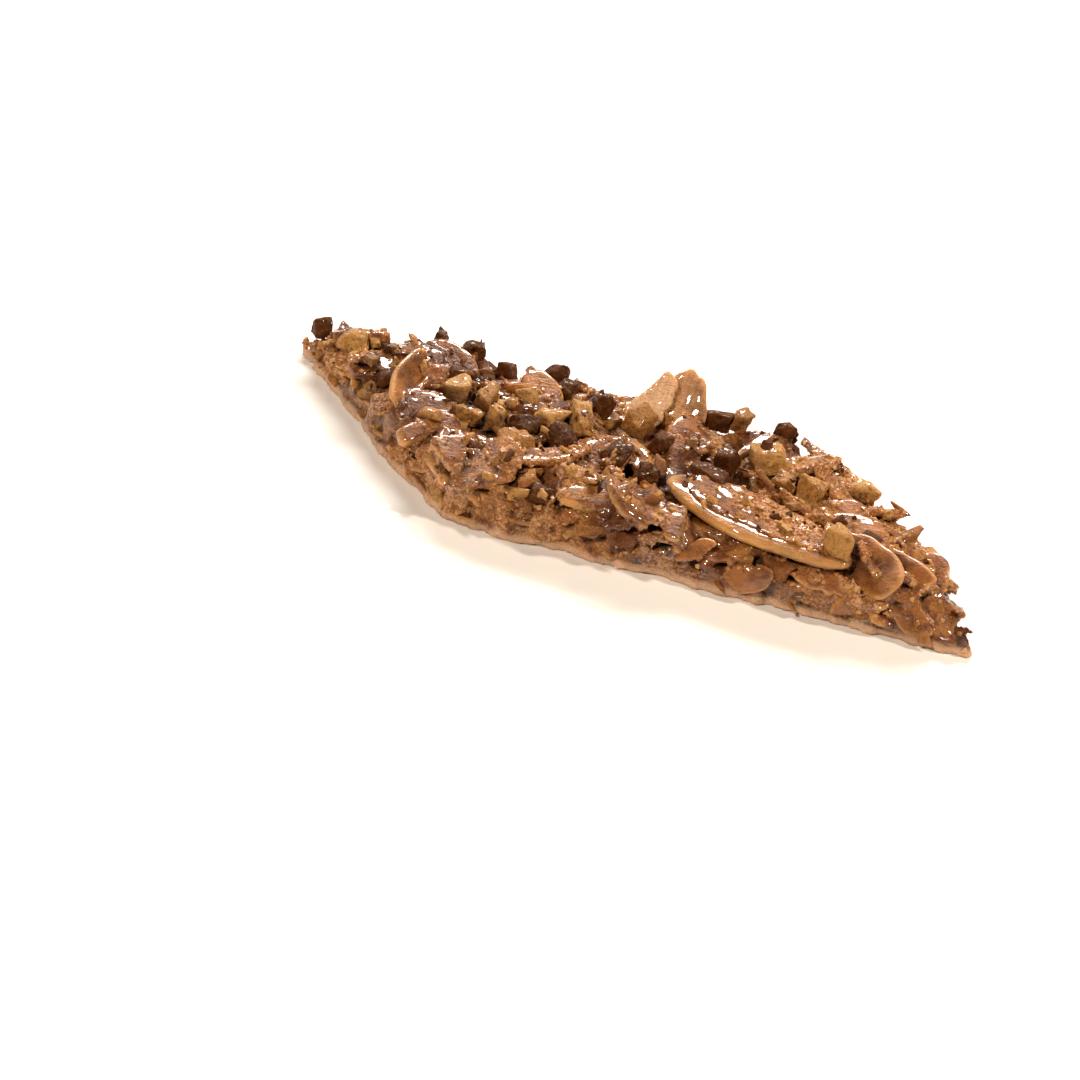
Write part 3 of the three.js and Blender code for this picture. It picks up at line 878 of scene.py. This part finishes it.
def chopped_kernel(name, stops, stain, skin):
    """A chopped kernel: matt where it was cut, gritty, stained by caramel and with scraps of skin."""
    material, tree = new_material(name)
    mm = millimetres(tree)
    mottled = noise(tree, mm, 1.1, 4.0, 0.6)
    fine = noise(tree, mm, 0.26, 3.0, 0.6)
    base = ramp(tree, attribute(tree, "tint"), stops)
    base = mix(tree, scale_range(tree, mottled, 0.5, 0.68, 0.0, 0.85), base, colour(stain))
    base = mix(tree, scale_range(tree, mottled, 0.34, 0.4, 0.6, 0.0), base, colour(skin))
    base = shaded(tree, mix(tree, scale_range(tree, fine, 0.5, 0.75, 0.0, 0.35), base, colour("#c39458")))
    normal = bump(tree, fine, 0.26, 1.0)
    normal = bump(tree, mottled, 0.6, 0.8, normal)
    surface(tree, base, normal,
            {"IOR": 1.4, "Roughness": 0.62, "Coat Roughness": 0.08, "Subsurface Weight": 0.25,
             "Subsurface Radius": (1.0, 0.5, 0.15), "Subsurface Scale": 0.8 * MM},
            {"Coat Weight": scale_range(tree, mottled, 0.52, 0.62, 0.0, 0.6)})
    return material


def chopped_almond():
    return chopped_kernel("chopped_toasted_almond",
                          [(0.0, "#7f4818"), (0.4, "#9c6328"), (0.75, "#b37b3a"), (1.0, "#c49356")],
                          "#7c4212", "#5d2f10")


def chopped_pistachio():
    return chopped_kernel("chopped_pistachio",
                          [(0.0, "#8c5c24"), (0.3, "#a67234"), (0.7, "#b98644"), (1.0, "#c9995a")],
                          "#7a4a17", "#46270f")


def roasted_cocoa_nib():
    """Roasted cocoa nib: deep brown, porous, with snapped waxy faces and a dusting of caramel."""
    material, tree = new_material("roasted_cocoa_nib")
    mm = millimetres(tree)
    mottled = noise(tree, mm, 0.7, 5.0, 0.65)
    fine = noise(tree, mm, 0.24, 3.0, 0.6)
    base = ramp(tree, mottled, [(0.35, "#2c1305"), (0.5, "#4a270e"), (0.62, "#6b421f"), (0.75, "#8a623c")])
    dusted = scale_range(tree, attribute(tree, "tint"), 0.4, 1, 0.0, 0.6)
    base = shaded(tree, mix(tree, dusted, base, colour("#6b3c1c")))
    normal = bump(tree, fine, 0.24, 1.0)
    normal = bump(tree, mottled, 0.5, 1.0, normal)
    surface(tree, base, normal,
            {"IOR": 1.4, "Roughness": 0.6, "Coat Roughness": 0.08, "Specular Tint": colour("#d8a680")},
            {"Coat Weight": scale_range(tree, mottled, 0.44, 0.5, 0.4, 0.0)})
    return material


def nut_crumb():
    """Crushed almond stuck in the caramel: sandy tan grains, half of them wet."""
    material, tree = new_material("crushed_almond_crumb")
    base = ramp(tree, attribute(tree, "tint"),
                [(0.0, "#5c2c09"), (0.35, "#83491a"), (0.7, "#a26a32"), (1.0, "#bd8b53")])
    base = shaded(tree, base)
    normal = bump(tree, noise(tree, millimetres(tree), 0.2), 0.08, 0.4)
    surface(tree, base, normal,
            {"IOR": 1.46, "Roughness": 0.42, "Coat Weight": 0.35, "Coat Roughness": 0.12,
             "Subsurface Weight": 0.2, "Subsurface Radius": (1.0, 0.45, 0.15),
             "Subsurface Scale": 0.5 * MM})
    return material


# ---- Scattered crumbs -----------------------------------------------------------------------

def chip_collection(name, count, seed):
    """A few small chips that the scatter picks from."""
    chips = bpy.data.collections.new(name)
    for index in range(count):
        points, _, faces = snapped_chip(seed + index, 0.0, 0)
        stretch = np.random.default_rng(seed + index).uniform(0.55, 1.3, 3)
        mesh = bpy.data.meshes.new(f"{name}_{index}")
        mesh.from_pydata((points * stretch * MM).tolist(), [], faces)
        chips.objects.link(bpy.data.objects.new(f"{name}_{index}", mesh))
    return chips


def scatter_tree(name):
    """Chips strewn over a surface where an attribute is high, sunk a little, turned at random."""
    tree = bpy.data.node_groups.new(name, "GeometryNodeTree")
    inputs = (("Geometry", "Geometry"), ("Chips", "Collection"), ("Per Square Metre", "Float"),
              ("Where", "String"), ("Smallest", "Float"), ("Largest", "Float"),
              ("Seed", "Int"), ("Finish", "Material"))
    for label, kind in inputs:
        tree.interface.new_socket(label, in_out="INPUT", socket_type="NodeSocket" + kind)
    tree.interface.new_socket("Geometry", in_out="OUTPUT", socket_type="NodeSocketGeometry")
    source = add(tree, "NodeGroupInput").outputs
    where = add(tree, "GeometryNodeInputNamedAttribute", {"data_type": "FLOAT"}, {"Name": source["Where"]})
    density = add(tree, "ShaderNodeMath", {"operation": "MULTIPLY"},
                  {0: where.outputs["Attribute"], 1: source["Per Square Metre"]})
    strewn = add(tree, "GeometryNodeDistributePointsOnFaces", {},
                 {"Mesh": source["Geometry"], "Density": density.outputs[0], "Seed": source["Seed"]})
    chips = add(tree, "GeometryNodeCollectionInfo", {"Separate Children": True, "Reset Children": True},
                {"Collection": source["Chips"]})
    turn = add(tree, "FunctionNodeRandomValue", {"data_type": "FLOAT_VECTOR"}, {"Seed": source["Seed"]})
    full_turn = 6.283
    turn.inputs[1].default_value = (full_turn,) * 3
    roll = add(tree, "FunctionNodeRandomValue", {"data_type": "FLOAT"}, {"Seed": source["Seed"]})
    skewed = add(tree, "ShaderNodeMath", {"operation": "POWER", 1: 2.4}, {0: roll.outputs[1]})
    size = add(tree, "ShaderNodeMapRange", {},
               {0: skewed.outputs[0], 3: source["Smallest"], 4: source["Largest"]})
    placed = add(tree, "GeometryNodeInstanceOnPoints", {"Pick Instance": True},
                 {"Points": strewn.outputs["Points"], "Instance": chips.outputs[0],
                  "Rotation": turn.outputs[0], "Scale": size.outputs[0]})
    shade = add(tree, "FunctionNodeRandomValue", {"data_type": "FLOAT"}, {"Seed": source["Seed"]})
    tinted = add(tree, "GeometryNodeStoreNamedAttribute",
                 {"data_type": "FLOAT", "domain": "INSTANCE", "Name": "tint"},
                 {"Geometry": placed.outputs[0], "Value": shade.outputs[1]})
    real = add(tree, "GeometryNodeRealizeInstances", {}, {"Geometry": tinted.outputs[0]})
    finished = add(tree, "GeometryNodeSetMaterial", {},
                   {"Geometry": real.outputs[0], "Material": source["Finish"]})
    add(tree, "NodeGroupOutput", links={"Geometry": finished.outputs[0]})
    return tree


def scatter(tree, ground, name, chips, per_square_mm, where, sizes, seed, finish):
    """One joined mesh of chips strewn over the ground piece."""
    holder = bpy.data.objects.new(name + "_holder", ground.data.copy())
    bpy.context.scene.collection.objects.link(holder)
    modifier = holder.modifiers.new(name, "NODES")
    modifier.node_group = tree
    values = {"Chips": chips, "Per Square Metre": per_square_mm / MM ** 2, "Where": where,
              "Smallest": sizes[0], "Largest": sizes[1], "Seed": seed, "Finish": finish}
    for item in tree.interface.items_tree:
        if item.in_out == "INPUT" and item.name in values:
            modifier[item.identifier] = values[item.name]
    bpy.context.view_layer.update()
    evaluated = holder.evaluated_get(bpy.context.evaluated_depsgraph_get())
    mesh = bpy.data.meshes.new_from_object(evaluated)
    mesh.name = name
    bpy.data.objects.remove(holder)
    piece = bpy.data.objects.new(name, mesh)
    bpy.context.scene.collection.objects.link(piece)
    return piece


# ---- Building the piece ---------------------------------------------------------------------

def shape_core(tray, flakes, chips, slices, chunks):
    """The caramel drawn round every flake, slice and chopped nut."""
    core = Core(tray)
    for flake in flakes:
        core.add_flake(flake, FLAKE_PROUD, CARAMEL_FILLET)
    core.add_flake(slices[0], -HERO_FILM, 0.3, HERO_RIM)
    for flake in slices[1:]:
        leaning = abs(flake.axes[2, 2]) < STANDING and flake.middle[2] > STANDING_HEIGHT
        if not leaning and flake.size[1] > STICK_WIDTH:
            core.add_flake(flake, WALL_PROUD if in_wall(flake.middle, tray) else SEAT_PROUD, 0.6)
    for chip in chips:
        core.add_chip(chip)
    for nut in chunks:
        half = nut.size / 2 * 0.85

        def ball(x, y, z, nut=nut, half=half):
            dx, dy, dz = x - nut.middle[0], y - nut.middle[1], z - nut.middle[2]
            local = [(dx * a[0] + dy * a[1] + dz * a[2]) / r for a, r in zip(nut.axes.T, half)]
            return (np.sqrt(sum(v ** 2 for v in local)) - 1) * half.min()

        core.stamp(ball, nut.middle, half.max() + 1.0, 0.5, is_flake=False)
    core.set_caramel()
    core.crowd = core.crowding(1.0)
    return core


def lifted(points):
    """The points raised together until none lies under the tray."""
    return points + np.array((0, 0, max(0.0, FLOOR - points[:, 2].min())))


def piece_points(piece):
    """The points of a piece, in millimetres."""
    co = np.empty(len(piece.data.vertices) * 3, np.float32)
    piece.data.vertices.foreach_get("co", co)
    return co.reshape(-1, 3) / MM


def hollow_shade_and_patches(piece, core):
    """Painted shade where a place is shut in, patches of thick dark caramel, and pale where it lay on the
    tray.
    """
    points = piece_points(piece)
    crowding = core.sample(core.crowd, points)
    # painted shade: how shut in each point is, which the finishes darken towards black
    point_attribute(piece, "hollow", smooth_step(0.46, 0.74, crowding))
    point_attribute(piece, "underside", 1 - smooth_step(0.5, 1.2, points[:, 2]))
    frost = smooth_step(0.56, 0.7, value_noise(*points.T, 4.5, 77)) * 0.7
    for x, y, reach in FROSTED:
        gap = np.hypot(points[:, 0] - x, points[:, 1] - y)
        frost = np.maximum(frost, 1 - smooth_step(0.4 * reach, reach, gap))
    thick = value_noise(*points.T, 5.0, 63) + 0.35 * (value_noise(*points.T, 1.1, 64) - 0.5)
    standing = smooth_step(6.5, 7.5, points[:, 2])
    point_attribute(piece, "thick", smooth_step(0.54, 0.68, thick - 0.3 * frost) * (1 - standing))
    point_attribute(piece, "frost", frost * (1 - smooth_step(0.5, 0.7, crowding)))
    return points, crowding


def caramel_piece(core, name, material, start, end):
    """One length of the set caramel, with the values that its finish and the crumbs read."""
    piece = core.mesh(name, material, start, end)
    points, crowding = hollow_shade_and_patches(piece, core)
    edge = core.sample(np.broadcast_to(core.edge, core.count), points)
    patch = value_noise(*points.T, 6.0, 21)
    on_wall = smooth_step(-1.8, -0.8, edge)
    sand = np.clip(smooth_step(0.5, 0.64, patch) + 0.6 * on_wall * smooth_step(0.38, 0.5, patch), 0, 1)
    height = points[:, 2]
    shown = (points[:, 0] > start) & (points[:, 0] < end)
    point_attribute(piece, "near", 1 - smooth_step(0.1, 0.7, core.sample(core.nuts, points)))
    point_attribute(piece, "sand", sand)
    crumbs = shown * (0.10 + 0.90 * sand) * (1 - 0.2 * on_wall) * smooth_step(*CRUMB_FEET, height)
    point_attribute(piece, "crumbs", crumbs * (1 - smooth_step(0.62, 0.78, crowding)))
    point_attribute(piece, "toppings", shown * smooth_step(2.0, 3.4, height) * (1 - on_wall))
    return piece


def slice_flake(nut, index, tray):
    """The flake that stands for a packed almond slice, snapped as broken flakes are."""
    rng = np.random.default_rng(SEED + 13 * index)
    wall = in_wall(nut.middle, tray)
    reach = (0.1, 0.24) if wall else (0.2, 0.42)
    count = 3 if wall else rng.integers(0, 3)
    snaps = [(rng.uniform(0, 2 * math.pi), nut.size[0] * rng.uniform(*reach)) for _ in range(count)]
    tint = rng.uniform(0.2, 0.5 if wall else 0.8)
    if index in SHOWN_SLICES:
        tint, breaks = SHOWN_SLICES[index]
        snaps = [(bearing, nut.size[side] * share) for bearing, side, share in breaks]
    size = (nut.size[0], nut.size[1], nut.thickness)
    return Flake(nut.middle, nut.axes, size, nut.curl, tint, snaps)


def in_wall(middle, tray):
    """Whether a nut lies so near the outline that it shows in a broken side."""
    return float(tray.sample(tray.outline, middle[:1], middle[1:2])[0]) > -WALL_BAND


def own(piece, slot, *nodes):
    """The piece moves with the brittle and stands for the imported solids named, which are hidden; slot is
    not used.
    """
    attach(piece, "root")
    if nodes:
        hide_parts(*nodes)


def build_brittle():
    tray = Tray()
    almonds = [Nut(name) for name in ALMONDS]
    pistachios = [Nut(name) for name in PISTACHIOS]
    nibs = [Nut(name) for name in NIBS]
    almond_finish = glazed_almond()
    finishes = {ALMOND: chopped_almond(), PISTACHIO: chopped_pistachio(), NIB: roasted_cocoa_nib()}
    slots = {ALMOND: "almond_slice", PISTACHIO: "pistachio", NIB: "cocoa_nib"}

    slices = [slice_flake(nut, index, tray) for index, nut in enumerate(almonds)]
    flakes, pile = drop_flakes(tray, slices[0], pistachios + nibs)
    chips = set_chips(tray, pile, slices)
    core = shape_core(tray, flakes, chips, slices, pistachios + nibs)
    caramel = cooked_caramel()
    middle = float(np.median(core.x))
    halves = [caramel_piece(core, "set_caramel_left", caramel, -FAR, middle),
              caramel_piece(core, "set_caramel_right", caramel, middle, FAR)]
    for half in halves:
        own(half, "caramel_brittle", SLAB)

    def finished(piece, slot, *nodes):
        hollow_shade_and_patches(piece, core)
        own(piece, slot, *nodes)

    layers = flake_piece("layered_almond_flakes", flakes, *LAYER_DETAIL, almond_finish, 1000, tray)
    points, crowding = hollow_shade_and_patches(layers, core)
    own(layers, "almond_slice")
    dust = value_noise(*points.T, 3.0, 58)
    dust = smooth_step(0.4, 0.6, dust) * (1 - smooth_step(0.5, 0.62, crowding))
    point_attribute(layers, "dust", dust * smooth_step(*CRUMB_FEET, points[:, 2]))
    for kind, name in ((ALMOND, "pressed_almond_chips"), (PISTACHIO, "pressed_pistachio_chips"),
                       (NIB, "pressed_nib_chips")):
        some = [chip for chip in chips if chip.kind == kind]
        finished(chip_piece(name, some, finishes[kind], 600 + 50 * kind), slots[kind])

    for index, (nut, flake) in enumerate(zip(almonds, slices)):
        piece = flake_piece(nut.name + "_glazed", [flake], *SLICE_DETAIL, almond_finish, 30 + index)
        finished(piece, "almond_slice", nut.name)
    for index, nut in enumerate(pistachios):
        piece = chopped_piece(nut, finishes[PISTACHIO], 200 + index, swell=1.1, rough=0.42)
        finished(piece, "pistachio", nut.name)
    for index, nut in enumerate(nibs):
        piece = chopped_piece(nut, finishes[NIB], 300 + index, swell=1.2, rough=0.45)
        finished(piece, "cocoa_nib", nut.name)

    tree = scatter_tree("strewn_chips")
    crumb_finish = nut_crumb()
    # name, grains to a square millimetre, where they lie, their sizes, seed, finish, slot
    strewn = (
        ("strewn_almond_crumbs", 4.2, "crumbs", (0.12, 0.62), 3, crumb_finish, "caramel_brittle"),
        ("strewn_nib_shards", 0.08, "toppings", (0.4, 1.5), 4, finishes[NIB], "cocoa_nib"),
        ("strewn_pistachio_bits", 0.10, "toppings", (0.4, 1.5), 5, finishes[PISTACHIO], "pistachio"),
    )
    for name, density, where, sizes, seed, finish, slot in strewn:
        crumbs = chip_collection(name + "_kinds", 12, 100 * seed)
        for side, half in zip(("left", "right"), halves):
            piece = scatter(tree, half, f"{name}_{side}", crumbs, density, where, sizes, seed, finish)
            finished(piece, slot)
    kinds = chip_collection("dust_kinds", 12, 900)
    piece = scatter(tree, layers, "strewn_almond_dust", kinds, 2.2, "dust", (0.12, 0.42), 9, crumb_finish)
    finished(piece, "caramel_brittle")


# ---- Stage ----------------------------------------------------------------------------------

def look_at(thing, place, target):
    thing.location = place
    thing.rotation_euler = (Vector(target) - Vector(place)).to_track_quat("-Z", "Y").to_euler()


def soft_light(name, place, size, power, tone):
    lamp = bpy.data.lights.new(name, "AREA")
    lamp.shape = "RECTANGLE"
    lamp.size, lamp.size_y = size
    lamp.energy = power
    lamp.color = colour(tone)[:3]
    light = bpy.data.objects.new(name, lamp)
    bpy.context.scene.collection.objects.link(light)
    look_at(light, place, (0, 0, 0.004))


def build_stage():
    bm = bmesh.new()
    bmesh.ops.create_grid(bm, x_segments=1, y_segments=1, size=3.0)
    mesh = bpy.data.meshes.new("table")
    bm.to_mesh(mesh)
    bm.free()
    table = bpy.data.objects.new("table", mesh)
    material, tree = new_material("pale_table")
    shader = add(tree, "ShaderNodeBsdfPrincipled", {"Base Color": colour("#f4f2ef"), "Roughness": 0.7})
    add(tree, "ShaderNodeOutputMaterial", links={"Surface": shader.outputs["BSDF"]})
    mesh.materials.append(material)
    bpy.context.scene.collection.objects.link(table)
    soft_light("back_softbox", (-0.08, 0.46, 0.36), (0.32, 0.15), 5.5, "#fff5ec")
    soft_light("side_key", (0.40, 0.02, 0.34), (0.04, 0.04), 2.0, "#fff0de")
    soft_light("front_lamp", (-0.22, -0.42, 0.44), (0.05, 0.05), 3.0, "#fff0de")
    world = bpy.data.worlds.new("studio")
    bpy.context.scene.world = world
    world.use_nodes = True
    background = world.node_tree.nodes["Background"]
    background.inputs["Color"].default_value = colour("#fff2e4")
    background.inputs["Strength"].default_value = 0.07


def build_camera():
    forward = Vector((0, math.cos(CAMERA_ELEVATION), -math.sin(CAMERA_ELEVATION)))
    right = Vector((1, 0, 0))
    up = right.cross(forward)
    level = math.cos(CAMERA_ROLL) * right + math.sin(CAMERA_ROLL) * up
    plumb = -math.sin(CAMERA_ROLL) * right + math.cos(CAMERA_ROLL) * up
    place = CAMERA_FOCUS - forward * CAMERA_DISTANCE
    target = CAMERA_FOCUS + level * CAMERA_AIM[0] + plumb * CAMERA_AIM[1]
    view = (target - place).normalized()
    level = (level - view * level.dot(view)).normalized()
    axes = Matrix((level, level.cross(view), -view)).transposed()
    lens = bpy.data.cameras.new("camera")
    lens.lens = CAMERA_LENS
    lens.sensor_width = 36
    lens.clip_start = 0.01
    camera = bpy.data.objects.new("camera", lens)
    camera.matrix_world = Matrix.Translation(place) @ axes.to_4x4()
    bpy.context.scene.collection.objects.link(camera)
    bpy.context.scene.camera = camera


bpy.context.scene.view_settings.view_transform = "Standard"
build_camera()
build_stage()
build_brittle()
